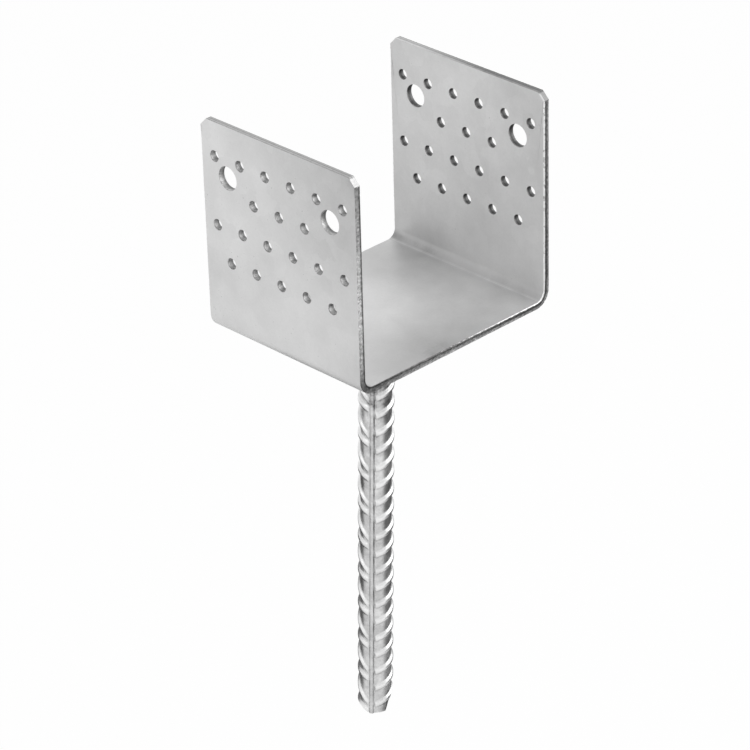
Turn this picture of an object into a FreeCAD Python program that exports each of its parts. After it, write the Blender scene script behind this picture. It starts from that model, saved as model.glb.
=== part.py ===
import FreeCAD, Part
import math
import os

from FreeCAD import Vector

# Timber post base for casting into concrete, in millimetres.
# A plate folded to a U holds the post between two punched flanges. A length of ribbed
# reinforcing bar is welded under its seat and is cast into the footing.
# X runs across the opening, Y along the flanges, Z up. The origin is the middle of the
# seat's upper face, where the post's end grain stands.

# folded plate
opening_width = 143.0
plate_thickness = 4.0
plate_depth = 120.0
flange_height = 128.0
bend_inner_radius = 6.0
corner_cut = 4.5
edge_break = 0.5

# nail holes: rows down from the top edge, each centred on the flange
nail_hole_d = 6.5
nail_row_counts = (6, 3, 6, 5)
nail_column_pitch = 20.0
nail_row_pitch = 21.0
nail_top_margin = 21.0

# through-bolt holes, between the first and the second row of nail holes
bolt_hole_d = 14.0
bolt_hole_spacing = 80.0
bolt_hole_top_margin = 31.5

# reinforcing bar, welded on a little out of true
bar_length = 265.0
bar_core_d = 18.3
bar_lean = 1.5
bar_off_centre = 2.5
bar_drift_bearing = 135.0

# the two ribs that run along the bar
long_rib_bearing = 211.0
long_rib_height = 1.2
long_rib_base = 3.4
long_rib_crest = 1.6

# crescent ribs: low at their ends, just short of the long ribs, and highest half way between.
# Each is cut into straight facets between its stations.
rib_height = 1.4
rib_end_height = 0.6
rib_base = 5.6
rib_crest = 2.0
rib_half_sweep = 77.0
rib_root_depth = 0.6
rib_stations = 6

# one side of the bar carries parallel ribs
plain_rib_slant = 22.0
plain_rib_pitch = 11.7
plain_rib_first = 8.2

# the other side carries steep and shallow ribs in turn
pair_pitch = 23.1
steep_rib_slant = 42.0
steep_rib_first = 15.5
shallow_rib_slant = 18.5
shallow_rib_first = 5.5

# the shears pinch the bar's tip from both sides
shear_bearing = 135.8
bevel_angle = 52.0
bevel_reach = 4.6
taper_angle = 17.0
taper_reach = 15.0

# fillet weld round the bar, under the seat, one metal with the bar
weld_leg = 6.0

# derived sizes
half_opening = opening_width / 2
half_outside = half_opening + plate_thickness
half_depth = plate_depth / 2
bend_outer_radius = bend_inner_radius + plate_thickness
bar_radius = bar_core_d / 2
seat_underside = -plate_thickness
UP = Vector(0, 0, 1)
ACROSS = Vector(1, 0, 0)


def u_profile():
    """The plate's section across the fold, one closed wire in the XZ plane at Y = 0."""

    def bend(side, radius, edge_x, low_z):
        """Quarter circle from the upright edge at side * edge_x down to the level low_z."""
        centre = Vector(side * (edge_x - radius), 0, low_z + radius)
        start = centre + Vector(side * radius, 0, 0)
        slope = radius * math.sqrt(0.5)
        middle = centre + Vector(side * slope, 0, -slope)
        end = centre - Vector(0, 0, radius)
        return start, middle, end

    outer_left = bend(-1, bend_outer_radius, half_outside, seat_underside)
    outer_right = bend(1, bend_outer_radius, half_outside, seat_underside)
    inner_left = bend(-1, bend_inner_radius, half_opening, 0)
    inner_right = bend(1, bend_inner_radius, half_opening, 0)
    top_outer_left = Vector(-half_outside, 0, flange_height)
    top_inner_left = Vector(-half_opening, 0, flange_height)
    top_outer_right = Vector(half_outside, 0, flange_height)
    top_inner_right = Vector(half_opening, 0, flange_height)
    edges = [
        Part.makeLine(top_outer_left, outer_left[0]),
        Part.Arc(*outer_left).toShape(),
        Part.makeLine(outer_left[2], outer_right[2]),
        Part.Arc(*reversed(outer_right)).toShape(),
        Part.makeLine(outer_right[0], top_outer_right),
        Part.makeLine(top_outer_right, top_inner_right),
        Part.makeLine(top_inner_right, inner_right[0]),
        Part.Arc(*inner_right).toShape(),
        Part.makeLine(inner_right[2], inner_left[2]),
        Part.Arc(*reversed(inner_left)).toShape(),
        Part.makeLine(inner_left[0], top_inner_left),
        Part.makeLine(top_inner_left, top_outer_left),
    ]
    return Part.Wire(edges)


def corner_cutter(end):
    """Triangular prism that takes the top corners off both flanges at one end in Y."""
    corner_y = end * half_depth
    reach = 2 * corner_cut
    points = [
        Vector(-reach - half_outside, corner_y - end * corner_cut, flange_height),
        Vector(-reach - half_outside, corner_y + end * reach, flange_height),
        Vector(-reach - half_outside, corner_y + end * reach, flange_height - corner_cut - reach),
        Vector(-reach - half_outside, corner_y, flange_height - corner_cut),
    ]
    return flat_face(points).extrude(ACROSS * 2 * (half_outside + reach))


def flange_hole(side, y, z, diameter):
    """Cylinder that cuts one hole through the flange on this side."""
    start = Vector(side * (half_opening - plate_thickness), y, z)
    return Part.makeCylinder(diameter / 2, 3 * plate_thickness, start, ACROSS * side)


def flange_holes(side):
    """Every hole in one flange."""
    cutters = []
    for row, count in enumerate(nail_row_counts):
        z = flange_height - nail_top_margin - row * nail_row_pitch
        for column in range(count):
            y = (column - (count - 1) / 2) * nail_column_pitch
            cutters.append(flange_hole(side, y, z, nail_hole_d))
    for end in (-1, 1):
        y = end * bolt_hole_spacing / 2
        cutters.append(flange_hole(side, y, flange_height - bolt_hole_top_margin, bolt_hole_d))
    return cutters


def is_outline_edge(edge):
    """True for the plate's long sheared edges, which run in its two faces."""
    box = edge.BoundBox
    thin = plate_thickness * 1.01
    crosses_plate = max(box.XLength, box.YLength, box.ZLength) < thin
    in_end_face = abs(abs(box.YMin) - half_depth) < 1e-6 and box.YLength < 1e-6
    along_top = box.ZMin > flange_height - corner_cut - 1e-6 and box.YLength > 1e-6
    return (in_end_face or along_top) and not crosses_plate


def make_bracket():
    plate = Part.Face(u_profile()).extrude(Vector(0, plate_depth, 0))
    plate.translate(Vector(0, -half_depth, 0))
    plate = plate.cut([corner_cutter(-1), corner_cutter(1)])
    rim = [edge for edge in plate.Edges if is_outline_edge(edge)]
    plate = plate.makeChamfer(edge_break, rim)
    return plate.cut(flange_holes(-1) + flange_holes(1))


def flat_face(corners):
    """Plane face with these corners."""
    return Part.Face(Part.makePolygon(corners + corners[:1]))


def around(bearing, radius, drop):
    """Point on the bar before it is leaned: bearing in degrees, drop below its top end."""
    turn = math.radians(bearing)
    return Vector(radius * math.cos(turn), radius * math.sin(turn), -drop)


def crescent_rib(row_bearing, slant, middle_drop):
    """One rib, its flat facets running between sections in planes through the bar's axis."""
    step = 2 * rib_half_sweep / (rib_stations - 1)
    # facets stand as far inside the round crest at their middle as outside it at their ends
    outset = 2 / (1 + math.cos(math.radians(step / 2)))
    # a root drawn in by one share everywhere keeps the facets of the flanks flat
    root_share = (bar_radius - rib_root_depth) / ((bar_radius + rib_height) * outset)
    sections = []
    for station in range(rib_stations):
        sweep = station * step - rib_half_sweep
        swell = math.cos(math.radians(90 * sweep / rib_half_sweep))
        reach = (bar_radius + rib_end_height + (rib_height - rib_end_height) * swell) * outset
        drift = math.tan(math.radians(slant)) * reach * math.radians(sweep)
        crest = around(row_bearing + sweep, reach, drift)
        root = crest * root_share
        sections.append([
            root + UP * (rib_base / 2),
            crest + UP * (rib_crest / 2),
            crest - UP * (rib_crest / 2),
            root - UP * (rib_base / 2),
        ])
    faces = [flat_face(sections[0]), flat_face(sections[-1])]
    for here, there in zip(sections, sections[1:]):
        for corner in range(4):
            faces.append(flat_face([here[corner - 1], here[corner], there[corner], there[corner - 1]]))
    rib = Part.makeSolid(Part.makeShell(faces))
    rib.translate(Vector(0, 0, -middle_drop))
    return rib


def rib_row(row_bearing, slant, first_drop, pitch, top_drop, bottom_drop):
    """Copies of one rib along the bar, as many as its length takes."""
    pattern = crescent_rib(row_bearing, slant, 0)
    ribs = []
    count_above = math.floor((first_drop - top_drop) / pitch)
    drop = first_drop - count_above * pitch
    while drop < bottom_drop:
        ribs.append(pattern.translated(Vector(0, 0, -drop)))
        drop += pitch
    return ribs


def long_rib(bearing, top_drop, bottom_drop):
    """Flat-topped rib that runs the whole length of the bar."""
    along = around(bearing, 1, 0)
    aside = around(bearing + 90, 1, 0)
    low = along * (bar_radius - rib_root_depth)
    high = along * (bar_radius + long_rib_height)
    corners = [
        low - aside * (long_rib_base / 2),
        high - aside * (long_rib_crest / 2),
        high + aside * (long_rib_crest / 2),
        low + aside * (long_rib_base / 2),
    ]
    face = flat_face(corners)
    face.translate(Vector(0, 0, -top_drop))
    return face.extrude(Vector(0, 0, top_drop - bottom_drop))


def shear_cutter(bearing, angle, reach):
    """Block with one slanting face that meets the bar's side at reach above its tip."""
    size = 4 * bar_core_d
    outside = bar_radius + rib_height
    block = Part.makeBox(size, size, size, Vector(0, -size / 2, -size / 2))
    block.rotate(Vector(0, 0, 0), Vector(0, 1, 0), angle)
    block.translate(Vector(outside, 0, reach - bar_length))
    block.rotate(Vector(0, 0, 0), UP, bearing)
    return block


def upright_bar():
    """The bar before it is leaned, its axis on Z and its tip at -bar_length."""
    spare = bar_core_d
    core = Part.makeCylinder(bar_radius, bar_length + spare, Vector(0, 0, -bar_length))
    additions = [long_rib(long_rib_bearing, -spare, bar_length)]
    additions.append(long_rib(long_rib_bearing + 180, -spare, bar_length))
    end = bar_length + rib_base
    plain_side = long_rib_bearing + 90
    pair_side = long_rib_bearing - 90
    additions += rib_row(plain_side, -plain_rib_slant, plain_rib_first, plain_rib_pitch, 0, end)
    additions += rib_row(pair_side, steep_rib_slant, steep_rib_first, pair_pitch, 0, end)
    additions += rib_row(pair_side, shallow_rib_slant, shallow_rib_first, pair_pitch, 0, end)
    weld_size = 2 * weld_leg
    weld = Part.makeCone(bar_radius, bar_radius + weld_size, weld_size, Vector(0, 0, -weld_leg))
    bar = core.fuse(additions + [weld])
    below_tip = Part.makeBox(
        4 * bar_core_d, 4 * bar_core_d, 4 * bar_core_d,
        Vector(-2 * bar_core_d, -2 * bar_core_d, -bar_length - 4 * bar_core_d),
    )
    bevel = shear_cutter(shear_bearing, bevel_angle, bevel_reach)
    taper = shear_cutter(shear_bearing + 180, taper_angle, taper_reach)
    return bar.cut([below_tip, bevel, taper])


def set_on_seat(shape):
    """Leans a shape that was built on the Z axis and moves it under the seat."""
    turn = math.radians(bar_drift_bearing)
    drift = Vector(math.cos(turn), math.sin(turn), 0)
    shape.rotate(Vector(0, 0, 0), drift.cross(UP), bar_lean)
    shape.translate(drift * bar_off_centre + Vector(0, 0, seat_underside))
    size = 8 * bar_core_d
    above_seat = Part.makeBox(size, size, size, Vector(-size / 2, -size / 2, seat_underside))
    return shape.cut(above_seat)


bracket = make_bracket()
anchor_bar = set_on_seat(upright_bar())

os.makedirs("parts", exist_ok=True)
for name, shape in (("u_bracket", bracket), ("anchor_bar", anchor_bar)):
    solids = shape.Solids
    print(name, "solids", len(solids), "valid", shape.isValid(), "volume", round(shape.Volume, 1))
    solid = solids[0] if len(solids) == 1 else shape
    solid.exportStep("parts/" + name + ".step")
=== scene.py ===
# %% [markdown]
# # Timber post base
# This lesson dresses a post base: a plate folded to a U, punched for nails and bolts, on a ribbed
# reinforcing bar that is cast into concrete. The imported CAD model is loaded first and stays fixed, so
# every new piece is made in metres round the origin, the middle of the seat's upper face.

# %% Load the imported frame
import math

import bpy
import numpy as np
from mathutils import Matrix, Vector, noise


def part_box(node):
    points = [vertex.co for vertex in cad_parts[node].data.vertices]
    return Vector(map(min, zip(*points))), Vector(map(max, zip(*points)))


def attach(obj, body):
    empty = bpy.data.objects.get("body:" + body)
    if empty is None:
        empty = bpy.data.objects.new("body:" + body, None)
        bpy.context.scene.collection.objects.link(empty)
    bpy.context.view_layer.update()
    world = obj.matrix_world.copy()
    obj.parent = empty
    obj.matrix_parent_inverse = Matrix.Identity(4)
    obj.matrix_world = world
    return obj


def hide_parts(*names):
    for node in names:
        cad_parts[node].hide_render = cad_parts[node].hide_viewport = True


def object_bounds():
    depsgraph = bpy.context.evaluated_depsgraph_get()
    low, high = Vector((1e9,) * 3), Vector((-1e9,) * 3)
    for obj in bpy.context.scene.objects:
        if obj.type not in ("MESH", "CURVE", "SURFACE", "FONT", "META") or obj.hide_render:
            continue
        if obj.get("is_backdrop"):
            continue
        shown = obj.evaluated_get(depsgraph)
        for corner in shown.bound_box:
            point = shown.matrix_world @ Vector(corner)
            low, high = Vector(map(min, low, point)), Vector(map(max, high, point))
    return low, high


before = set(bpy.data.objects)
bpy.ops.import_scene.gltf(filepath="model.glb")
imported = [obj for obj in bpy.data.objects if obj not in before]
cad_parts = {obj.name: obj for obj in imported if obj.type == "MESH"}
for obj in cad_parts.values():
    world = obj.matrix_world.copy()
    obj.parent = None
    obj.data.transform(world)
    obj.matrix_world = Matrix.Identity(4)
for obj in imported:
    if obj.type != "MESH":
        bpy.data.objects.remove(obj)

cad_low, cad_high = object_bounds()
MM = 0.001


def in_mm(place):
    """A place in millimetres, rounded for printing."""
    return [round(v / MM, 2) for v in place]


print("CAD box in mm:", in_mm(cad_low), in_mm(cad_high))

# %% [markdown]
# Operators act on whatever is selected, and loading leaves things selected. Small helpers keep the steps
# honest: one makes a single object active, one leaves only chosen parts of a mesh selected, and one ends
# a shaping step, with doubled points merged and all faces turned outwards.

# %% Helpers for selecting and shaping
hair = 0.01 * MM


def activate(piece):
    """Leaves this object alone selected and active, in object mode."""
    if bpy.context.object and bpy.context.object.mode != "OBJECT":
        bpy.ops.object.mode_set(mode="OBJECT")
    bpy.ops.object.select_all(action="DESELECT")
    piece.select_set(True)
    bpy.context.view_layer.objects.active = piece


def pick(piece, kind, test):
    """Selects the faces, edges or vertices that pass the test, and stays in edit mode."""
    activate(piece)
    bpy.ops.object.mode_set(mode="EDIT")
    bpy.ops.mesh.select_mode(type=kind)
    bpy.ops.mesh.select_all(action="DESELECT")
    bpy.ops.object.mode_set(mode="OBJECT")
    items = {"FACE": piece.data.polygons, "EDGE": piece.data.edges, "VERT": piece.data.vertices}[kind]
    count = 0
    for item in items:
        item.select = test(item)
        count += item.select
    bpy.ops.object.mode_set(mode="EDIT")
    return count


def edge_ends(piece, edge):
    """The two ends of an edge."""
    points = piece.data.vertices
    return points[edge.vertices[0]].co, points[edge.vertices[1]].co


def close_up():
    """Merges doubled points, turns all faces outwards and leaves edit mode."""
    bpy.ops.mesh.select_all(action="SELECT")
    bpy.ops.mesh.remove_doubles(threshold=0.1 * hair)
    bpy.ops.mesh.normals_make_consistent(inside=False)
    bpy.ops.object.mode_set(mode="OBJECT")


def apply_modifier(piece, kind, **settings):
    """Adds a modifier with these settings and applies it."""
    activate(piece)
    bpy.ops.object.modifier_add(type=kind)
    modifier = piece.modifiers[-1]
    for name, value in settings.items():
        setattr(modifier, name, value)
    bpy.ops.object.modifier_apply(modifier=modifier.name)


def size_of(piece):
    """The piece's face count, for printing."""
    return len(piece.data.polygons)


# %% [markdown]
# ## The folded plate
# The real plate is sheared and punched flat, then folded twice. The CAD node has its sizes, with plain
# chamfers along its edges. Sheared steel looks different close up: the outer side is rolled in, a
# burnished band follows, and the rest of the cut is torn. The plate is therefore made again here, from
# the flange's narrow top face, extruded down, spun round each bend and extruded up again.

# %% Sizes of the plate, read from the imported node
plate_low, plate_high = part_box("u_bracket")
half_outside = plate_high.x
half_depth = plate_high.y
flange_top = plate_high.z
plate_thickness = -plate_low.z
half_opening = half_outside - plate_thickness
bend_inner_radius = 6 * MM
bend_steps = 14
corner_cut = 4.5 * MM
print("plate", round(plate_thickness / MM, 2), "mm thick, opening", round(2 * half_opening / MM, 1), "mm")

# %% [markdown]
# The fold could be a Bend modifier on a flat sheet, but that stretches it. Extrude and spin follow the
# press brake instead: straight, round, straight, round, straight, with the thickness true all the way.

# %% Fold the plate
bpy.ops.object.select_all(action="DESELECT")
bpy.ops.mesh.primitive_plane_add(size=1, location=(0, 0, 0))
plate = bpy.context.object
plate.name = "punched_plate"
start_x = -half_opening - plate_thickness / 2
plate.data.transform(
    Matrix.Translation((start_x, 0, flange_top))
    @ Matrix.Diagonal((plate_thickness, 2 * half_depth, 1, 1))
)
bend_z = bend_inner_radius
bend_x = half_opening - bend_inner_radius
bpy.ops.object.mode_set(mode="EDIT")
bpy.ops.mesh.select_all(action="SELECT")
bpy.ops.mesh.extrude_region_move(TRANSFORM_OT_translate={"value": (0, 0, bend_z - flange_top)})
bpy.ops.mesh.spin(
    steps=bend_steps, angle=math.radians(90), center=(-bend_x, 0, bend_z), axis=(0, 1, 0)
)
bpy.ops.mesh.extrude_region_move(TRANSFORM_OT_translate={"value": (2 * bend_x, 0, 0)})
bpy.ops.mesh.spin(
    steps=bend_steps, angle=math.radians(90), center=(bend_x, 0, bend_z), axis=(0, 1, 0)
)
bpy.ops.mesh.extrude_region_move(TRANSFORM_OT_translate={"value": (0, 0, flange_top - bend_z)})
close_up()
print("folded plate", size_of(plate), "faces, box in mm:", *(in_mm(plate.bound_box[i]) for i in (0, 6)))

# %% [markdown]
# The blank's four corners were cropped, so that nobody is cut by them. A bevel of one segment on the short
# edges through the plate makes the same flat corners.

# %% Cut the flanges' top corners
def is_top_corner(edge):
    """True for the short edges through the plate at the flanges' top corners."""
    one, other = edge_ends(plate, edge)
    at_top = min(one.z, other.z) > flange_top - hair
    return at_top and abs(one.y - other.y) < hair


print("corners picked:", pick(plate, "EDGE", is_top_corner))
bpy.ops.mesh.bevel(offset=corner_cut, offset_type="OFFSET", segments=1, affect="EDGES")
bpy.ops.object.mode_set(mode="OBJECT")

# %% [markdown]
# Each flange has twenty nail holes in rows of six, three, six and five, every row centred, and a bolt
# hole at each side between the first two rows. They share one pitch, so a short loop can list them.

# %% The holes and their sizes
nail_hole_radius = 3.25 * MM
bolt_hole_radius = 7 * MM
nail_rows = (6, 3, 6, 5)
nail_column_pitch = 20 * MM
nail_row_pitch = 21 * MM
nail_top_row = flange_top - 21 * MM
bolt_z = flange_top - 31.5 * MM
bolt_y = 40 * MM

holes = []
for row, count in enumerate(nail_rows):
    for column in range(count):
        y = (column - (count - 1) / 2) * nail_column_pitch
        holes.append((y, nail_top_row - row * nail_row_pitch, nail_hole_radius))
holes += [(-bolt_y, bolt_z, bolt_hole_radius), (bolt_y, bolt_z, bolt_hole_radius)]
print(len(holes), "holes in each flange")

# %% [markdown]
# A punch draws the metal in at the side it enters from, here the outside, and leaves a clean wall
# behind it. One cutter holds that whole form: a pin that flares as it leaves the plate. It could be
# stacked from cylinders and cones. A half profile spun round its axis is one closed piece at once.

# %% Make a punch
def spun(name, profile, edges, steps, axis):
    """A closed piece of its own: the profile spun once round an axis through the origin."""
    mesh = bpy.data.meshes.new(name)
    mesh.from_pydata(profile, edges, [])
    piece = bpy.data.objects.new(name, mesh)
    bpy.context.collection.objects.link(piece)
    activate(piece)
    bpy.ops.object.mode_set(mode="EDIT")
    bpy.ops.mesh.select_all(action="SELECT")
    bpy.ops.mesh.spin(steps=steps, angle=math.radians(360), center=(0, 0, 0), axis=axis)
    close_up()
    print(name, "spun to", size_of(piece), "faces")
    return piece


roll_width = 0.3 * MM
roll_depth = 0.5 * MM
roll_steps = 4
punch_reach = 2 * MM
punch_columns = 40


def punch(name, radius):
    """A cutter on the X axis, its plate's outer face at X = 0 and its tip towards -X."""
    profile = [(punch_reach, 0), (punch_reach, radius + roll_width)]
    for step in range(roll_steps + 1):
        turn = math.radians(90 * step / roll_steps)
        depth = roll_depth * (1 - math.cos(turn))
        profile.append((-depth, radius + roll_width * (1 - math.sin(turn))))
    profile += [(-plate_thickness - punch_reach, radius), (-plate_thickness - punch_reach, 0)]
    edges = [(i, i + 1) for i in range(len(profile) - 1)]
    return spun(name, [(x, 0, r) for x, r in profile], edges, punch_columns, (1, 0, 0))


punches = {nail_hole_radius: punch("nail_punch", nail_hole_radius)}
punches[bolt_hole_radius] = punch("bolt_punch", bolt_hole_radius)

# %% [markdown]
# A Boolean for each of the 44 holes would take long and leave a modifier each. The punches are copied,
# each copy with its own mesh, and joined to one cutter, so that one Boolean makes all the holes.

# %% Punch every hole
copies = []
for side in (-1, 1):
    turn = Matrix.Rotation(math.radians(180), 4, "Z") if side < 0 else Matrix.Identity(4)
    for y, z, radius in holes:
        copy = punches[radius].copy()
        copy.data = punches[radius].data.copy()
        copy.data.transform(Matrix.Translation((side * half_outside, y, z)) @ turn)
        bpy.context.collection.objects.link(copy)
        copies.append(copy)
activate(copies[0])
for copy in copies:
    copy.select_set(True)
bpy.ops.object.join()
all_punches = bpy.context.object
apply_modifier(plate, "BOOLEAN", operation="DIFFERENCE", solver="EXACT", object=all_punches)
for spent in (all_punches, *punches.values()):
    bpy.data.objects.remove(spent)
print("punched", 2 * len(holes), "holes,", size_of(plate), "faces")

# %% [markdown]
# Next come the sheared faces: the plate's two ends, its tops and its cropped corners. They could be picked
# by number, but a number changes with every edit. A face's place and normal tell it more safely, and the
# depth below the plate's outer side tells which of its edges lie along the rim, also round the bends.

# %% Find the sheared faces and their edges
def depth_in_plate(point):
    """How deep a point lies below the plate's outer side, measured through its thickness."""
    x = abs(point.x)
    if point.z > bend_z:
        return half_outside - x
    if x < bend_x:
        return point.z + plate_thickness
    return bend_inner_radius + plate_thickness - math.hypot(x - bend_x, bend_z - point.z)


def is_sheared(face):
    """True for faces of the plate's sheared outline: its two ends, its tops and its corners."""
    across = abs(face.normal.x) < 0.01
    at_end = abs(abs(face.center.y) - half_depth) < hair
    at_top = face.center.z > flange_top - corner_cut - hair
    return across and (at_end or at_top)


def runs_along_rim(edge):
    """True for an edge between a sheared face and one of the plate's two sides."""
    one, other = edge_ends(plate, edge)
    level = abs(depth_in_plate(one) - depth_in_plate(other)) < 5 * hair
    on_side = min(depth_in_plate(one), plate_thickness - depth_in_plate(one)) < 5 * hair
    return level and on_side and tuple(sorted(edge.vertices)) in rim_edges


def find_rim_edges():
    """The edges round all sheared faces, as pairs of vertex numbers."""
    found = set()
    for face in plate.data.polygons:
        if is_sheared(face):
            found.update(tuple(sorted(key)) for key in face.edge_keys)
    return found


print("sheared faces:", sum(is_sheared(face) for face in plate.data.polygons))

# %% [markdown]
# They need a fine grid before they can be torn. Dividing an edge would also cut across the face beside
# it, and a line across a punched face would run over its holes, so those faces are made triangles first.
# Then the long edges are divided, and after them the short edges through the plate. Subdivide takes at
# most a hundred cuts, so long edges are divided twice.

# %% Divide the sheared faces
rim_depth_steps = 10


def divide(title, test, cuts):
    """Subdivides the edges that pass the test."""
    count = pick(plate, "EDGE", test)
    bpy.ops.mesh.subdivide(number_cuts=cuts)
    bpy.ops.object.mode_set(mode="OBJECT")
    print(title, count, "edges divided, plate now", size_of(plate), "faces")


def longer_than(length):
    """A test for rim edges over this length."""

    def test(edge):
        one, other = edge_ends(plate, edge)
        return runs_along_rim(edge) and (one - other).length > length

    return test


def runs_through_plate(edge):
    """True for the short edges that cross a sheared face from side to side."""
    one, other = edge_ends(plate, edge)
    crosses = abs(depth_in_plate(one) - depth_in_plate(other)) > 0.9 * plate_thickness
    return crosses and tuple(sorted(edge.vertices)) in rim_edges


pick(plate, "FACE", lambda face: len(face.vertices) > 4)
bpy.ops.mesh.quads_convert_to_tris()
bpy.ops.object.mode_set(mode="OBJECT")
rim_edges = find_rim_edges()
divide("flats:", longer_than(50 * MM), 15)
rim_edges = find_rim_edges()
divide("pieces:", longer_than(3 * MM), 12)
rim_edges = find_rim_edges()
divide("bends:", longer_than(0.65 * MM), 1)
rim_edges = find_rim_edges()
divide("through the plate:", runs_through_plate, rim_depth_steps - 1)

# %% [markdown]
# Each point of a sheared face is now drawn back into the plate by an amount that depends on how far it
# lies from the inner side, where the shears entered: most at the edge that they rolled in, nothing
# along the burnished band, and unevenly over the torn rest. A Displace modifier knows nothing of that
# depth, so one function gives the amount for any point. Its noises are counted in waves per metre.

# %% How far each point of a cut is drawn in
rolled_depth = 0.75 * MM
rolled_back = 0.5 * MM
burnished_to = 2.0 * MM
border_waves, tear_waves, fine_waves, nick_waves = 260, 900, 2100, 420


def smooth_step(low, high, value):
    """0 below low, 1 above high and a smooth rise between."""
    share = np.clip((value - low) / (high - low), 0, 1)
    return share * share * (3 - 2 * share)


def drawn_back(depth, place, cropped):
    """How far a point of a sheared face lies inside the plate's outline."""
    entry = plate_thickness - depth
    on_top = place.z > flange_top - 1 * MM
    bite = 0.5 if on_top else float(np.interp(place.x / half_outside, (-0.9, 0.9), (0.6, 1.4)))
    round_edge = max(0, 1 - entry / (rolled_depth * bite))
    rolled = rolled_back * bite * (1 - math.sqrt(1 - round_edge * round_edge))
    if cropped:
        return rolled * 0.7
    border = burnished_to + 0.6 * MM * noise.noise(place * border_waves)
    torn = float(smooth_step(border - 0.2 * MM, border + 0.3 * MM, entry))
    rough = 0.16 * MM + 0.16 * MM * noise.noise(place * tear_waves)
    rough += 0.10 * MM * noise.noise(place * fine_waves)
    nicks = 0.6 * MM * max(0, noise.noise(place * nick_waves) - 0.34)
    return rolled + (0.4 if on_top else 1) * (torn * max(0, rough) + nicks)


# %% [markdown]
# A point on the rim belongs to one sheared face or, at a corner, to two. It has to go inwards from both by
# the same amount. The faces' normals, gathered for every point before anything moves, give that direction.

# %% Which way is in, and which way is out
normals_at = {}
for face in plate.data.polygons:
    if is_sheared(face):
        for index in face.vertices:
            normals_at.setdefault(index, set()).add(tuple(round(n, 2) for n in face.normal))


def way_in(normals):
    """The move that goes one unit inwards from every sheared face round a point."""
    faces = [Vector(normal).normalized() for normal in normals]
    if len(faces) == 1:
        return -faces[0]
    return -(faces[0] + faces[1]) / (1 + faces[0].dot(faces[1]))


def outwards(point):
    """The direction through the plate, towards its outer side."""
    side = math.copysign(1, point.x)
    if point.z > bend_z:
        return Vector((side, 0, 0))
    if abs(point.x) < bend_x:
        return Vector((0, 0, -1))
    return (point - Vector((side * bend_x, point.y, bend_z))).normalized()


print("points on the sheared faces:", len(normals_at))

# %% [markdown]
# The grid's even levels are first shifted to where the bands meet, and then each point is drawn back. The
# depth below the outer side stays on the mesh as an attribute, which the sheared steel's finish reads.

# %% Tear the sheared faces
rim_levels = plate_thickness - np.array([4.0, 3.8, 3.4, 3.0, 2.6, 2.2, 1.7, 0.9, 0.5, 0.2, 0.0]) * MM
depths = []
for vertex in plate.data.vertices:
    depth = depth_in_plate(vertex.co)
    if vertex.index in normals_at:
        level = float(np.interp(depth / plate_thickness, np.linspace(0, 1, len(rim_levels)), rim_levels))
        place = vertex.co + outwards(vertex.co) * (depth - level)
        depth = level
        cropped = any(abs(n[1]) > 0.3 and abs(n[2]) > 0.3 for n in normals_at[vertex.index])
        vertex.co = place + way_in(normals_at[vertex.index]) * drawn_back(depth, place, cropped)
    depths.append(depth / MM)
cut_depth = plate.data.attributes.new("cut_depth", "FLOAT", "POINT")
cut_depth.data.foreach_set("value", depths)
plate.data.update()
print("depths kept, from", round(min(depths), 2), "to", round(max(depths), 2), "mm")

# %% [markdown]
# The bends and the hole walls are round, the flanges and the seat flat. Smooth shading by angle keeps
# sharp edges sharp, and weighted normals stop a flat face from taking a tint from the bend beside it.

# %% Shade the plate
activate(plate)
bpy.ops.object.shade_smooth_by_angle(angle=math.radians(32))
apply_modifier(plate, "WEIGHTED_NORMAL", keep_sharp=True, weight=50)
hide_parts("u_bracket")
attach(plate, "root")
print("plate done,", size_of(plate), "faces")

# %% [markdown]
# ## The ribbed bar
# Reinforcing bar is rolled, so its ribs have soft crests and hollow feet that plain facets can't show.
# They could be separate pieces laid on a core, but would meet it in hard corners. Here the bar starts as
# a cylinder without ends, is subdivided to a fine net, and each point is then moved out by a rib law.

# %% Divide a cylinder finely
bar_length = 265 * MM
bar_radius = 9.15 * MM
bar_spare = 8 * MM
bar_columns = 120
bar_cuts = (24, 19)


def runs_lengthwise(edge):
    """True for the edges that run along the bar."""
    one, other = edge_ends(bar, edge)
    return abs(one.z - other.z) > hair


bpy.ops.object.select_all(action="DESELECT")
bpy.ops.mesh.primitive_cylinder_add(
    vertices=bar_columns, radius=bar_radius, depth=bar_length + 2 * bar_spare, end_fill_type="NOTHING",
    location=(0, 0, 0),
)
bar = bpy.context.object
bar.name = "ribbed_bar"
bar.data.transform(Matrix.Translation((0, 0, -bar_length / 2)))
for cuts in bar_cuts:
    found = pick(bar, "EDGE", runs_lengthwise)
    bpy.ops.mesh.subdivide(number_cuts=cuts)
    bpy.ops.object.mode_set(mode="OBJECT")
    print("divided", found, "edges, bar now", size_of(bar), "faces")

# %% [markdown]
# Two ribs run along the bar, half a turn apart. Between them one side has parallel ribs and the other has
# steep and shallow ribs in turn. That makes three rows, each with one slant and one pitch. Bearings and
# slants are in degrees.

# %% Sizes of the ribs
long_rib_bearing = 211
long_rib_height = 1.2 * MM
long_rib_half_crest = 0.85 * MM
long_rib_half_foot = 1.5 * MM
rib_end_height = 0.6 * MM
rib_swell = 0.8 * MM
rib_half_crest = 0.9 * MM
rib_half_foot = 2.4 * MM
rib_half_sweep = 77
rib_end_run = 4
crest_crown = 0.08 * MM
skin_wobble = 0.05 * MM

# row bearing, slant, pitch, drop of the first rib
rib_rows = (
    (long_rib_bearing + 90, -22, 11.7 * MM, 8.2 * MM),
    (long_rib_bearing - 90, 42, 23.1 * MM, 15.5 * MM),
    (long_rib_bearing - 90, 18.5, 23.1 * MM, 5.5 * MM),
)
print("rows of crescent ribs:", len(rib_rows))

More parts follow.
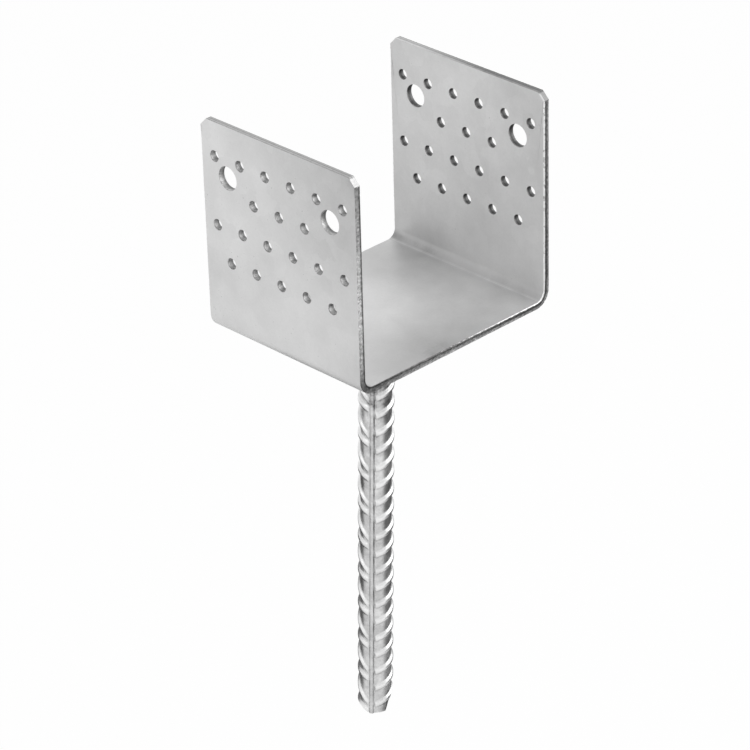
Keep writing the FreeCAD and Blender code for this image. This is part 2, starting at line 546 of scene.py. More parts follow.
# %% [markdown]
# The rib law is a height over the core at any bearing round the bar and any drop below its top. A rib is
# a band along a slanting line. Across it the height has a flat crest and smooth flanks, and along it a
# cosine, so that the rib swells and fades as the roll's groove made it.

# %% The rib law
def turned_from(bearings, middle):
    """Bearings measured from a middle one, between -180 and 180 degrees."""
    return (bearings - middle + 180) % 360 - 180


def rib_lift(bearings, drops, row_bearing, slant, pitch, first_drop):
    """Height of one row of crescent ribs over the bar's core, at these bearings and drops."""
    sweep = turned_from(bearings, row_bearing)
    swell = np.cos(np.radians(90 * np.clip(sweep / rib_half_sweep, -1, 1)))
    height = rib_end_height + rib_swell * swell
    drift = math.tan(math.radians(slant)) * (bar_radius + height) * np.radians(sweep)
    offset = (drops - first_drop - drift + pitch / 2) % pitch - pitch / 2
    section = 1 - smooth_step(rib_half_crest, rib_half_foot, np.abs(offset))
    crown = crest_crown * np.clip(1 - (offset / rib_half_crest) ** 2, 0, 1)
    fade = (rib_half_sweep - rib_end_run / 2, rib_half_sweep + rib_end_run / 2)
    end = 1 - smooth_step(*fade, np.abs(sweep))
    return (height * section + crown) * end


def crescents_at(bearings, drops):
    """Height of all crescent ribs over the core."""
    lift = np.zeros(len(drops))
    for row in rib_rows:
        lift = np.maximum(lift, rib_lift(bearings, drops, *row))
    return lift


# %% [markdown]
# A sculpting brush could raise the ribs, but not evenly. The law is worked out for all points at once with
# arrays, and moves them straight out from the bar's line. A slight noise keeps the zinc from looking turned
# on a lathe.

# %% Raise the ribs
points = np.array([vertex.co for vertex in bar.data.vertices])
bearings = np.degrees(np.arctan2(points[:, 1], points[:, 0]))
drops = -points[:, 2]
crescents = crescents_at(bearings, drops)
lift = crescents.copy()
for bearing in (long_rib_bearing, long_rib_bearing - 180):
    aside = np.radians(np.abs(turned_from(bearings, bearing))) * bar_radius
    section = 1 - smooth_step(long_rib_half_crest, long_rib_half_foot, aside)
    lift = np.maximum(lift, long_rib_height * section)
wobble = np.array([
    noise.noise(Vector(point) * 60) + 0.5 * noise.noise(Vector(point) * 220) for point in points
])
share = 1 + (lift + skin_wobble * wobble) / bar_radius
points[:, 0] *= share
points[:, 1] *= share
bar.data.vertices.foreach_set("co", points.ravel())
bar.data.update()
print("ribs stand up to", round(float(lift.max()) / MM, 2), "mm over the core")

# %% [markdown]
# The crests and upper flanks of the ribs get a painted highlight and the band under each rib a painted
# shade. The slope of the rib law says which flank a point is on. It is kept on the mesh as an attribute for
# the bar's finish.

# %% Remember where to paint light and shade on the ribs
probe = 0.6 * MM
flank_gain, crest_gain = 1.8, 0.8
climb = (crescents_at(bearings, drops + probe) - crescents_at(bearings, drops - probe)) / (2 * probe)
# painted highlight where a flank faces up and on the crests, painted shade where it faces down
bright = np.clip(flank_gain * climb, -1.2, 1) + crest_gain * np.clip(crescents / rib_end_height, 0, 1)
bright[lift > crescents + 0.1 * MM] = 0
rib_painted_light = bar.data.attributes.new("rib_painted_light", "FLOAT", "POINT")
rib_painted_light.data.foreach_set("value", bright.astype(np.float32))
print("points brighter than the core:", int((bright > 0).sum()), "of", len(bright))

# %% [markdown]
# The bar was cropped by shears, which pinch its tip from two sides. A Boolean could do that too. Bisect is
# the simpler saw: it cuts along a plane, drops what lies beyond it and fills the cut.

# %% Crop the tip
shear_bearing = 135.8
shear_cuts = ((shear_bearing, 52, 4.6 * MM), (shear_bearing + 180, 17, 15 * MM))
over_ribs = bar_radius + 1.4 * MM


def slice_off(piece, point, normal):
    """Cuts off what lies on the normal's side of a plane, and closes the cut."""
    activate(piece)
    bpy.ops.object.mode_set(mode="EDIT")
    bpy.ops.mesh.select_all(action="SELECT")
    bpy.ops.mesh.bisect(plane_co=point, plane_no=normal, use_fill=True, clear_outer=True)
    bpy.ops.object.mode_set(mode="OBJECT")


slice_off(bar, Vector((0, 0, -bar_length)), Vector((0, 0, -1)))
for bearing, angle, reach in shear_cuts:
    turn = Matrix.Rotation(math.radians(bearing), 3, "Z")
    tilt = math.radians(angle)
    point = turn @ Vector((over_ribs, 0, reach - bar_length))
    slice_off(bar, point, turn @ Vector((math.cos(tilt), 0, -math.sin(tilt))))
tapered_side = turn @ Vector((over_ribs, 0, 3 * MM - bar_length))
print("tip cropped, bar now", size_of(bar), "faces")

# %% [markdown]
# A welded bar is never quite square. This one leans a little and stands off the seat's middle, so it is
# moved as it is welded on, and its top is then cut level with the seat's underside. The move is made in
# the mesh, because a finished piece's object stays at the origin.

# %% Set the bar under the seat
drift_bearing = math.radians(135)
drift_length = 2.5 * MM
lean_angle = math.radians(1.5)
drift = Vector((math.cos(drift_bearing), math.sin(drift_bearing), 0))
lean = Matrix.Rotation(lean_angle, 4, drift.cross(Vector((0, 0, 1))))
to_weld = Matrix.Translation(drift * drift_length + Vector((0, 0, -plate_thickness)))
onto_seat = to_weld @ lean
bar.data.transform(onto_seat)
slice_off(bar, Vector((0, 0, -plate_thickness)), Vector((0, 0, 1)))
activate(bar)
bpy.ops.object.shade_smooth_by_angle(angle=math.radians(40))
apply_modifier(bar, "WEIGHTED_NORMAL", keep_sharp=True, weight=50)
tapered_side = onto_seat @ tapered_side
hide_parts("anchor_bar")
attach(bar, "root")
print("bar done,", size_of(bar), "faces")

# %% [markdown]
# ## The weld
# A fillet weld runs round the bar's top and ties it to the seat. A torus would be too round for it. Its
# profile is a corner with a slightly hollow face, and the same spin that made the punches takes it round.

# %% Spin the bead
weld_leg = 6 * MM
weld_hollow = 0.22
weld_toe = 0.98
bead_columns = 288
bead_rows = 12
bead_root = bar_radius - 1 * MM
profile = [(bead_root, 0)]
for step in range(bead_rows + 1):
    turn = math.radians(90 * step / bead_rows)
    bulge = weld_leg * (1 - weld_hollow * math.sin(2 * turn))
    profile.append((bar_radius + bulge * math.cos(turn) * weld_toe, -bulge * math.sin(turn)))
profile.append((bead_root, -weld_leg))
ring = [(i, (i + 1) % len(profile)) for i in range(len(profile))]
bead = spun("weld_bead", [(r, 0, z) for r, z in profile], ring, bead_columns, (0, 0, 1))

# %% [markdown]
# The welder laid one small pool after another, like a row of overlapping coins. Each coin is steep at its
# front and thin at its back, and bows forward in the middle. The points are lifted by that rule, and a
# noise keeps any two coins from being alike.

# %% Raise its coins
coin_pitch = 2.6 * MM
coin_height = 0.5 * MM
coin_bow = 0.55
coin_front = 0.16
bead_uneven = 0.25 * MM
bead_sink = 0.15 * MM
coins = round(2 * math.pi * (bar_radius + weld_leg / 2) / coin_pitch)
for vertex in bead.data.vertices:
    reach = math.hypot(vertex.co.x, vertex.co.y)
    if reach < bar_radius - 0.5 * MM:
        continue
    around = math.atan2(vertex.co.y, vertex.co.x) / (2 * math.pi) * coins
    slope = math.atan2(-vertex.co.z, reach - bar_radius) / (math.pi / 2)
    front = around + coin_bow * (2 * slope - 1) ** 2 + 0.12 * noise.noise(vertex.co * 300)
    within = front % 1
    crown = math.sin(math.pi * min(max(slope, 0), 1))
    raised = coin_height * float(smooth_step(0, coin_front, within)) * math.sqrt(1 - within)
    raised *= 0.25 + 0.75 * crown
    uneven = bead_uneven * noise.noise(vertex.co * 140)
    away = Vector((vertex.co.x / reach, vertex.co.y / reach, -1)).normalized()
    vertex.co += away * (raised + uneven - bead_sink)
    vertex.co.z = min(vertex.co.z, 0)
bead.data.transform(to_weld)
activate(bead)
bpy.ops.object.shade_smooth_by_angle(angle=math.radians(50))
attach(bead, "root")
print("bead of", coins, "coins,", size_of(bead), "faces")

# %% [markdown]
# ## Finishes
# Everything here is one metal, zinc, but it looks different on a rolled side, a cut face and a ribbed bar.
# The materials could be wired by hand in the node editor. Small helpers that each add one node and return
# its output keep the recipes short, and let a pattern be read from top to bottom like a sum.

# %% Helpers for nodes
def new_material(name):
    """A material with only its shader and output: itself, its node tree and its shader."""
    material = bpy.data.materials.new(name)
    material.use_nodes = True
    tree = material.node_tree
    return material, tree, tree.nodes["Principled BSDF"]


def add_node(tree, kind, **values):
    """Adds a node and sets its named inputs or properties."""
    node = tree.nodes.new(kind)
    for name, value in values.items():
        if name in node.inputs:
            node.inputs[name].default_value = value
        else:
            setattr(node, name.lower().replace(" ", "_"), value)
    return node


def places_on(tree):
    """Where each point lies on the piece, in metres."""
    return add_node(tree, "ShaderNodeTexCoord").outputs["Object"]


def parts_of(tree, place):
    """The X, Y and Z of a place, each as a value."""
    node = add_node(tree, "ShaderNodeSeparateXYZ")
    tree.links.new(place, node.inputs["Vector"])
    return node.outputs


def noise_at(tree, places, size, detail=3.0, roughness=0.5):
    """A noise pattern whose features are about this size, between 0 and 1."""
    node = add_node(tree, "ShaderNodeTexNoise", Scale=1 / size, Detail=detail, Roughness=roughness)
    tree.links.new(places, node.inputs["Vector"])
    return node.outputs["Fac"]


def mapped(tree, value, low, high, to_low, to_high):
    """The value taken from one range to another, and kept inside it."""
    node = add_node(tree, "ShaderNodeMapRange")
    for socket, number in zip(("From Min", "From Max", "To Min", "To Max"), (low, high, to_low, to_high)):
        node.inputs[socket].default_value = number
    tree.links.new(value, node.inputs["Value"])
    return node.outputs["Result"]


def combined(tree, operation, one, other):
    """Two values put together by a math step; either may be a plain number."""
    node = add_node(tree, "ShaderNodeMath", operation=operation)
    for index, value in enumerate((one, other)):
        if isinstance(value, (int, float)):
            node.inputs[index].default_value = value
        else:
            tree.links.new(value, node.inputs[index])
    return node.outputs[0]


def plus(tree, one, other):
    """Two values added."""
    return combined(tree, "ADD", one, other)


def minus(tree, one, other):
    """The first value less the second."""
    return combined(tree, "SUBTRACT", one, other)


def times(tree, one, other):
    """Two values multiplied."""
    return combined(tree, "MULTIPLY", one, other)


# %% [markdown]
# Three more helpers finish a recipe: one turns a value into greys, one lays a soft round patch of painted
# light and shade where the photograph has one, and one gives the surface its fine bumps.

# %% Helpers for greys, painted light patches and bumps
def grey(level):
    """A neutral grey of this brightness."""
    return (level, level, level, 1)


def shades(tree, value, stops):
    """A colour ramp over the value, with a grey at each stop."""
    node = add_node(tree, "ShaderNodeValToRGB")
    ramp = node.color_ramp
    while len(ramp.elements) < len(stops):
        ramp.elements.new(0.5)
    for element, (place, level) in zip(ramp.elements, stops):
        element.position = place
        element.color = grey(level)
    tree.links.new(value, node.inputs["Fac"])
    return node.outputs["Color"]


def painted_light_spot(tree, places, middle, reach, gain):
    """A soft round patch of painted light, or of painted shade where the gain is negative: this gain at its
    middle (in mm), fading to nothing at its reach.
    """
    node = add_node(tree, "ShaderNodeVectorMath", operation="DISTANCE")
    node.inputs[1].default_value = [v * MM for v in middle]
    tree.links.new(places, node.inputs[0])
    return mapped(tree, node.outputs["Value"], 0, reach * MM, gain, 0)


def add_bumps(tree, shader, height, strength, depth):
    """Lets this value raise fine bumps on the surface."""
    bump = add_node(tree, "ShaderNodeBump", Strength=strength, Distance=depth)
    tree.links.new(height, bump.inputs["Height"])
    tree.links.new(bump.outputs["Normal"], shader.inputs["Normal"])


# %% [markdown]
# The sheet was dipped in molten zinc, which freezes to a matte grey skin with broad clouds, soft smudges
# and a fine grain. An image could hold all that, but noise on Object coordinates has no seams, stays in
# place on the folded plate, and costs no file. Three noises of different size are added up here, and wide
# soft patches paint light and shade onto the flanges and the seat.

# %% Galvanised sheet: clouds and painted light patches
# middle in mm, reach in mm, gain: painted light where positive, painted shade where negative
painted_light_patches = (
    ((-75, -62, 128), 82, -0.42),
    ((-75, 62, 95), 90, 0.26),
    ((-112, -10, 10), 64, 0.4),
    ((-82, 72, -6), 48, 0.16),
    ((-42, -60, 0), 45, -0.2),
    ((-5, -60, 0), 55, -0.34),
    ((-30, 55, 0), 46, -0.5),
    ((20, 0, 0), 55, 0.28),
    ((34, 36, 0), 27, -0.27),
    ((70, 46, 0), 18, 0.18),
    ((72, -60, 20), 62, 0.2),
    ((72, 66, 4), 60, -0.22),
    ((64, -50, -4), 32, -0.22),
    ((110, 0, 80), 110, 0.14),
)
sheet, tree, shader = new_material("galvanised_sheet")
places = places_on(tree)
clouds = noise_at(tree, places, 45 * MM, 3)
smudges = noise_at(tree, places, 14 * MM, 4, 0.6)
grain = noise_at(tree, places, 1.6 * MM, 3, 0.6)
mixed = plus(tree, times(tree, clouds, 0.5), times(tree, smudges, 0.35))
mixed = plus(tree, mixed, times(tree, grain, 0.15))
for patch in painted_light_patches:
    mixed = plus(tree, mixed, painted_light_spot(tree, places, *patch))

# %% [markdown]
# Zinc crystals meet in crisp-edged blots, each a little lighter or darker than the next. A Voronoi
# texture gives every cell one random grey. Noise bends its places first, or the cells would look cut with
# a ruler. The blots are clearer high on the flanges than near the seat, so height sets their contrast.

# %% Galvanised sheet: zinc blots
blot_size = 11 * MM
bend_size = 7 * MM
bend_reach = 9 * MM
bent = add_node(tree, "ShaderNodeTexNoise", Scale=1 / bend_size, Detail=3.0)
tree.links.new(places, bent.inputs["Vector"])
shifted = add_node(tree, "ShaderNodeVectorMath", operation="MULTIPLY_ADD")
tree.links.new(bent.outputs["Color"], shifted.inputs[0])
shifted.inputs[1].default_value = (bend_reach, bend_reach, bend_reach)
tree.links.new(places, shifted.inputs[2])
blots = add_node(tree, "ShaderNodeTexVoronoi", Scale=1 / blot_size)
tree.links.new(shifted.outputs["Vector"], blots.inputs["Vector"])
split = parts_of(tree, places)
contrast = mapped(tree, split["Z"], 0, 70 * MM, 0.04, 0.13)
blot = times(tree, minus(tree, blots.outputs["Color"], 0.5), contrast)
mixed = plus(tree, mixed, blot)

# %% [markdown]
# The inside of each bend gets painted shade, and a bright line with a dark one in it runs along each bend
# near the seat. The bends run along Y, so the distance from the middle plane and the height find them, and
# the depth stored in the plate keeps the marks off the outside.

# %% Galvanised sheet: painted shade in the bends, and lines along them
# distance from the middle plane and half width in mm, gain: the bright line and the dark line in it
bend_lines = ((67.6, 0.8, 0.5), (67.7, 0.3, -0.5))
across = combined(tree, "ABSOLUTE", split["X"], 0)
depth = add_node(tree, "ShaderNodeAttribute", attribute_name="cut_depth").outputs["Fac"]
inside = mapped(tree, depth, 3.6, 3.9, 0, 1)
low = times(tree, inside, mapped(tree, split["Z"], 2.5 * MM, 6 * MM, 1, 0))
bend_painted_shade = times(tree, low, mapped(tree, across, 65.8 * MM, 68.5 * MM, 0, 1))
# painted shade: the inside of each bend is made darker
mixed = minus(tree, mixed, times(tree, bend_painted_shade, 0.34))
for middle, half_width, gain in bend_lines:
    off_line = combined(tree, "ABSOLUTE", minus(tree, across, middle * MM), 0)
    line = mapped(tree, off_line, 0, half_width * MM, gain, 0)
    tone_factor = mapped(tree, smudges, 0.35, 0.55, 0.3, 1)
    mixed = plus(tree, mixed, times(tree, times(tree, line, tone_factor), low))

# %% [markdown]
# Last come a few dark specks, where the zinc didn't wet the steel. Then one colour ramp turns the sum
# into greys. Zinc is duller than bare steel, so the shader is only partly metallic and fairly rough.

# %% Galvanised sheet: specks, colour and gloss
specks = mapped(tree, noise_at(tree, places, 1.1 * MM, 2), 0.71, 0.76, 0, 1)
few = mapped(tree, smudges, 0.5, 0.6, 0, 1)
mixed = minus(tree, mixed, times(tree, specks, few))
stops = ((0.0, 0.4), (0.14, 0.52), (0.38, 0.61), (0.62, 0.71), (0.9, 0.82))
tree.links.new(shades(tree, mixed, stops), shader.inputs["Base Color"])
shader.inputs["Metallic"].default_value = 0.6
tree.links.new(mapped(tree, smudges, 0.3, 0.7, 0.45, 0.55), shader.inputs["Roughness"])
add_bumps(tree, shader, plus(tree, grain, noise_at(tree, places, 0.5 * MM, 2)), 0.12, 0.1 * MM)
print("sheet finish of", len(tree.nodes), "nodes")

# %% [markdown]
# Shears and punches leave a cut face in bands: a rolled shoulder, a burnished band, and a torn band with
# a burr at its far rim, painted bright, partly as a highlight on its rounded edge. The zinc over it keeps
# those bands. The plate carries its depth below the outer side as an attribute, so one ramp over that depth
# paints the bands round every edge and hole, also through the bends, where no straight coordinate could
# follow them. The tops of the flanges were cut more cleanly than the rest, so they have a ramp of their
# own.

# %% Sheared steel: the clean cut along the tops
clean_stops = ((0.0, 0.05), (0.12, 0.3), (0.42, 0.38), (0.52, 0.12), (0.62, 0.38), (0.88, 0.36), (1.0, 0.6))
ramp_per_mm = 0.25


def clean_top(tree, side, depth):
    """The cut along the flanges' tops: its share at a place, and its shade times that share."""
    share = mapped(tree, side["Z"], flange_top - 1.0 * MM, flange_top - 0.6 * MM, 0, 0.85)
    shade = shades(tree, times(tree, depth, ramp_per_mm), clean_stops)
    # on the +X flange it is dark towards -Y and light towards +Y
    tone_factor = minus(tree, 1, mapped(tree, side["Y"], -15 * MM, 40 * MM, 0.4, 1.3))
    at_right = mapped(tree, side["X"], 0, 60 * MM, 0, 1)
    tone_factor = minus(tree, 1, times(tree, at_right, tone_factor))
    return share, times(tree, times(tree, shade, tone_factor), share)


# %% [markdown]
# The rest of the recipe lets noise waver the bands, moves them along with the shears' bite, which grows
# from the -X flange to the +X one, and dims the whole cut in blotches. It paints light on the seat's cut,
# more towards +X, and a little on the flanges' cuts, and paints shade that deepens towards the +X flange.
# The burr at the rim stays bright, partly as a painted highlight, except where it chipped.

# %% Sheared steel: the recipe for any cut
bend_heights = (4 * MM, 14 * MM)
burr_and_highlight_depths = (3.15, 3.5)


def cut_steel(name, stops, waver_height, roughness, patchy, painted_light_marks=()):
    """Bare-looking zinc on a cut face: greys by the depth below the plate's outer side, with painted light
    and shade.
    """
    material, tree, shader = new_material(name)
    places = places_on(tree)
    depth = add_node(tree, "ShaderNodeAttribute", attribute_name="cut_depth").outputs["Fac"]
    waver = minus(tree, noise_at(tree, places, 2.5 * MM, 4, 0.65), 0.5)
    level = plus(tree, depth, times(tree, waver, waver_height))
    side = parts_of(tree, places)
    bite = mapped(tree, side["X"], -70 * MM, 60 * MM, -1.0, 0.3)
    bite = minus(tree, bite, mapped(tree, side["Z"], *bend_heights, 0.35, 0))
    level = plus(tree, level, bite)
    ramp = shades(tree, times(tree, level, ramp_per_mm), stops)

    # painted light: the seat's cut lighter towards +X, the flanges' cuts a little lighter
    seat_painted_light = mapped(tree, side["X"], -60 * MM, 15 * MM, 0, 0.9)
    height = times(tree, seat_painted_light, mapped(tree, side["Z"], *bend_heights, 1, 0))
    height = plus(tree, height, mapped(tree, side["Z"], *bend_heights, 1, 1.2))
    for painted_light_mark in painted_light_marks:
        height = plus(tree, height, painted_light_spot(tree, places, *painted_light_mark))
    # painted shade: the whole cut darker towards the +X flange
    painted_light_and_blotches = times(tree, mapped(tree, side["X"], -60 * MM, 60 * MM, 1, 0.5), height)
    blotchy = mapped(tree, noise_at(tree, places, 1.8 * MM, 3, 0.7), 0.35, 0.65, 1 - patchy, 1 + patchy)
    chipped = mapped(tree, noise_at(tree, places, 5 * MM, 3, 0.7), 0.36, 0.46, 0.3, 1)
    # the burr at the inner rim: real, and partly a painted highlight on the rounded edge
    burr_and_highlight = mapped(tree, plus(tree, depth, bite), *burr_and_highlight_depths, 0, 1)
    chipped_burr_and_highlight = times(tree, chipped, burr_and_highlight)
    painted_light_and_blotches = combined(tree, "MAXIMUM", times(tree, painted_light_and_blotches, blotchy), chipped_burr_and_highlight)

    share, clean = clean_top(tree, side, depth)
    torn = times(tree, times(tree, ramp, painted_light_and_blotches), minus(tree, 1, share))
    tree.links.new(plus(tree, clean, torn), shader.inputs["Base Color"])
    shader.inputs["Metallic"].default_value = 0.85
    shader.inputs["Roughness"].default_value = roughness
    add_bumps(tree, shader, noise_at(tree, places, 0.9 * MM, 3, 0.6), 0.35, 0.15 * MM)
    print(name, "finish of", len(tree.nodes), "nodes")
    return material


# %% [markdown]
# The same recipe serves three kinds of cut. Only the greys, the waver and the gloss change: the sheared
# outline has the strongest bands, the hole walls are darker inside, and the cropped corners are smooth.
# The near edge gets painted shade at its bend and at its top, and painted light between them.

# %% Three kinds of cut face
torn_stops = ((0.0, 0.5), (0.1, 0.5), (0.36, 0.46), (0.48, 0.15), (0.79, 0.17), (0.87, 0.9), (1.0, 0.95))
# middle in mm, reach in mm, gain: painted light where positive, painted shade where negative
torn_painted_light = (((-75, -60, 2), 34, -0.62), ((-75, -60, 122), 44, -0.55), ((-75, -60, 42), 48, 0.7))
cut = cut_steel("sheared_edge", torn_stops, waver_height=1.5, roughness=0.42, patchy=0.38, painted_light_marks=torn_painted_light)
punched_stops = ((0.0, 0.42), (0.25, 0.3), (0.5, 0.18), (0.75, 0.14), (1.0, 0.3))
punched = cut_steel("punched_wall", punched_stops, waver_height=0.6, roughness=0.5, patchy=0.3)
cropped_stops = ((0.0, 0.52), (0.2, 0.5), (0.8, 0.5), (1.0, 0.7))
cropped = cut_steel("cropped_corner", cropped_stops, waver_height=0.6, roughness=0.45, patchy=0.12)

# %% [markdown]
# On the bar the crests and upper flanks of the ribs get a painted highlight and the band beside each rib a
# painted shade, and the zinc ran in streaks just under the seat, where the weld was hot. The crests could
# be painted by hand. Here the rib slope and height, stored in the mesh when the ribs were raised, paint
# them.
# A painted shadow of the bracket darkens the bar just under it, and a painted shade patch lies on the
# tapered side of the tip.

# %% Galvanised bar
dipped, tree, shader = new_material("galvanised_bar")
places = places_on(tree)
patches = noise_at(tree, places, 12 * MM, 4, 0.6)
grain = noise_at(tree, places, 1.3 * MM, 3, 0.6)
mixed = plus(tree, times(tree, patches, 0.7), times(tree, grain, 0.3))
rib_side = add_node(tree, "ShaderNodeAttribute", attribute_name="rib_painted_light").outputs["Fac"]
# painted highlight on the ribs' crests and upper flanks, painted shade under them
mixed = plus(tree, mixed, times(tree, rib_side, 0.21))
height = parts_of(tree, places)["Z"]
under_seat = mapped(tree, height, -130 * MM, -60 * MM, 0.2, 0.75)
runs = minus(tree, noise_at(tree, places, 5 * MM, 3, 0.6), 0.5)
mixed = plus(tree, mixed, times(tree, runs, under_seat))
# painted shadow of the bracket: the bar is darker just under the seat
mixed = minus(tree, mixed, mapped(tree, height, -70 * MM, -50 * MM, 0, 0.08))
# painted shade: a dark patch on the tapered side of the tip
mixed = plus(tree, mixed, painted_light_spot(tree, places, tapered_side / MM, 13, -0.8))
stops = ((0.2, 0.14), (0.38, 0.5), (0.5, 0.62), (0.65, 0.79), (0.85, 0.94))
tree.links.new(shades(tree, mixed, stops), shader.inputs["Base Color"])
shader.inputs["Metallic"].default_value = 0.9
tree.links.new(mapped(tree, patches, 0.3, 0.7, 0.3, 0.4), shader.inputs["Roughness"])
add_bumps(tree, shader, grain, 0.25, 0.15 * MM)
print("bar finish of", len(tree.nodes), "nodes")

# %% [markdown]
# One plate needs four materials. Each face is asked where its middle lies: on a rolled side, in a hole,
# on a cropped corner, or else on the sheared outline. That is safer than picking faces by number, which
# changes with every edit.

# %% Put the finishes on
def finish_of(face):
    """0 for the plate's two sides, 1 for its sheared outline, 2 for hole walls, 3 for cropped corners."""
    middle = face.center
    if not 2 * hair < depth_in_plate(middle) < plate_thickness - 2 * hair:
        return 0
    if any(math.hypot(middle.y - y, middle.z - z) < radius + 1 * MM for y, z, radius in holes):
        return 2
    off_corner = half_depth - abs(middle.y) + flange_top - middle.z
    return 3 if off_corner < corner_cut + 0.8 * MM else 1


for finish in (sheet, cut, punched, cropped):
    plate.data.materials.append(finish)
for face in plate.data.polygons:
    face.material_index = finish_of(face)
bar.data.materials.append(dipped)
bead.data.materials.append(dipped)
print("cut faces", sum(face.material_index > 0 for face in plate.data.polygons), "of", size_of(plate))

# %% [markdown]
# ## Floor, light and camera
# The part floats over white paper, as in a catalogue. A white floor could be had by strong light, but that
# would burn out the zinc. Instead the paper glows only where the camera or a reflection looks at it, and
# everything else sees plain paper under soft light, so it still takes the part's shadow.

# %% Floor
floor_z = -0.52
bpy.ops.object.select_all(action="DESELECT")
bpy.ops.mesh.primitive_plane_add(size=12, location=(0, 0, floor_z))
floor = bpy.context.object
floor.name = "studio_floor"
floor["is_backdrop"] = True


def white_when_seen(tree, light_part):
    """1 for camera, glossy and transmission rays, for a backdrop that these see as white."""
    path = add_node(tree, "ShaderNodeLightPath")
    seen = combined(tree, "MAXIMUM", path.outputs["Is Camera Ray"], path.outputs["Is Glossy Ray"])
    seen = combined(tree, "MAXIMUM", seen, path.outputs["Is Transmission Ray"])
    return times(tree, seen, light_part)


paper, tree, shader = new_material("white_paper")
shader.inputs["Base Color"].default_value = (0.8, 0.8, 0.8, 1)
shader.inputs["Roughness"].default_value = 0.9
shader.inputs["Specular IOR Level"].default_value = 0.2
glow = add_node(tree, "ShaderNodeEmission", Strength=1.0)
blend = add_node(tree, "ShaderNodeMixShader")
tree.links.new(white_when_seen(tree, 0.97), blend.inputs["Fac"])
tree.links.new(shader.outputs["BSDF"], blend.inputs[1])
tree.links.new(glow.outputs["Emission"], blend.inputs[2])
tree.links.new(blend.outputs["Shader"], tree.nodes["Material Output"].inputs["Surface"])
floor.data.materials.append(paper)

# %% [markdown]
# The world is a pale room with a dimmer ceiling. The sides of the room fill the flanges evenly, and the
# ceiling keeps the seat from going white.

# %% Room
world = bpy.data.worlds.new("studio")
bpy.context.scene.world = world
world.use_nodes = True
tree = world.node_tree
backdrop = tree.nodes["Background"]
backdrop.inputs["Color"].default_value = (1, 1, 1, 1)
walls, ceiling = 0.95, 0.55
toward = add_node(tree, "ShaderNodeTexCoord").outputs["Generated"]
room = mapped(tree, parts_of(tree, toward)["Z"], 0.1, 0.75, walls, ceiling)
path = add_node(tree, "ShaderNodeLightPath")
seen = combined(tree, "MAXIMUM", path.outputs["Is Camera Ray"], path.outputs["Is Transmission Ray"])
tree.links.new(combined(tree, "MAXIMUM", seen, room), backdrop.inputs["Strength"])
print("room: walls at", walls, "and ceiling at", ceiling)

# %% [markdown]
# Softboxes give the flanges their slow fall from light to dark. Point lamps would put hot spots on the
# zinc. Each box is named by its compass bearing and height, which is how a photographer would move it.

# %% Lamps
def direction(bearing, height):
    """The way to something at this compass bearing and elevation, in degrees."""
    turn, rise = math.radians(bearing), math.radians(height)
    return Vector((math.cos(turn) * math.cos(rise), math.sin(turn) * math.cos(rise), math.sin(rise)))


def area_light(name, bearing, height, distance, size, power):
    """A square softbox that faces the part, with sizes in metres and its power in watts."""
    out = direction(bearing, height)
    lamp = bpy.data.lights.new(name, "AREA")
    lamp.energy = power
    lamp.size = size
    holder = bpy.data.objects.new(name, lamp)
    bpy.context.collection.objects.link(holder)
    holder.location = out * distance
    holder.rotation_euler = out.to_track_quat("Z", "Y").to_euler()


area_light("left", bearing=188, height=34, distance=1.6, size=0.7, power=3)
area_light("overhead", bearing=60, height=78, distance=1.6, size=1.0, power=3)
area_light("behind", bearing=42, height=32, distance=1.6, size=1.1, power=2.2)
area_light("front_right", bearing=308, height=30, distance=1.4, size=1.4, power=9)
print("softboxes:", len(bpy.data.lights))

# %% [markdown]
# Metal in an all-white room has no edges. A photographer stands dark cards just out of view, so that the
# cut faces and the flanks of the bar mirror something dark. The cards are hidden from the camera and from
# diffuse light, and cast no shadow, so only reflections know of them.

# %% Dark cards
felt, tree, shader = new_material("dark_felt")
shader.inputs["Base Color"].default_value = (0.03, 0.03, 0.03, 1)
shader.inputs["Roughness"].default_value = 0.95


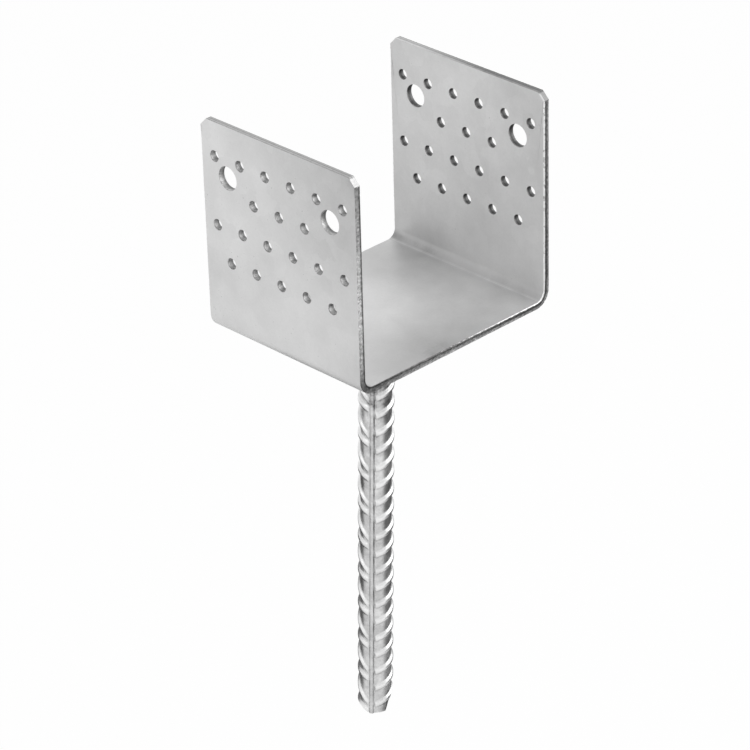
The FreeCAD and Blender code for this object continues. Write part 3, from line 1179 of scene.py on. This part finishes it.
def dark_card(name, bearing, height, distance, width, depth, middle):
    """A card that only reflections see, for dark lines along the metal's edges."""
    bpy.ops.object.select_all(action="DESELECT")
    bpy.ops.mesh.primitive_plane_add(size=1, location=(0, 0, 0))
    card = bpy.context.object
    card.name = name
    out = direction(bearing, height)
    facing = out.to_track_quat("Z", "Y").to_matrix().to_4x4()
    place = Matrix.Translation(out * distance + Vector((0, 0, middle)))
    card.data.transform(place @ facing @ Matrix.Diagonal((width, depth, 1, 1)))
    card.visible_camera = False
    card.visible_diffuse = False
    card.visible_shadow = False
    card.data.materials.append(felt)
    card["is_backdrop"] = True


dark_card("near_card", bearing=-28, height=-32, distance=0.5, width=1.0, depth=0.42, middle=-0.1)
dark_card("far_card", bearing=82, height=0, distance=0.12, width=0.25, depth=0.3, middle=-0.28)
dark_card("side_card", bearing=34, height=0, distance=0.25, width=0.26, depth=0.3, middle=-0.31)

# %% [markdown]
# The camera stands where the photographer's did, about two metres off with a long lens. Its bearing, rise,
# roll, distance and lens were solved from measured points of the part, so its numbers aren't round.

# %% Camera
view_bearing = -0.7717438875
view_rise = 0.5043863944
view_roll = -0.0274483871
shift_right = 3.2108923991 * MM
shift_up = 36.9492833306 * MM
distance = 2017.3853578463 * MM
focal_pixels = 3558.22476
image_width = 750
film_width = 36

back = Vector((
    math.sin(view_bearing) * math.cos(view_rise),
    -math.cos(view_bearing) * math.cos(view_rise),
    math.sin(view_rise),
))
level_right = Vector((math.cos(view_bearing), math.sin(view_bearing), 0))
level_up = back.cross(level_right)
right = math.cos(view_roll) * level_right + math.sin(view_roll) * level_up
up = -math.sin(view_roll) * level_right + math.cos(view_roll) * level_up
camera_data = bpy.data.cameras.new("camera")
camera_data.sensor_width = film_width
camera_data.lens = focal_pixels * film_width / image_width
camera_data.clip_end = 50
camera = bpy.data.objects.new("camera", camera_data)
bpy.context.collection.objects.link(camera)
camera.matrix_world = Matrix.Translation(
    back * distance - right * shift_right - up * shift_up
) @ Matrix((right, up, back)).transposed().to_4x4()
bpy.context.scene.camera = camera
print("camera at", in_mm(camera.location), "mm, lens", round(camera_data.lens, 1), "mm")
bpy.context.scene.view_settings.view_transform = "Standard"

# %% [markdown]
# Last, the box round everything visible is printed beside the CAD model's box, so that the two can be
# compared. The finished look must not outgrow the part it stands for.

# %% Print the sizes
seen_low, seen_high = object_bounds()
print("visual box in mm:", in_mm(seen_low), in_mm(seen_high))
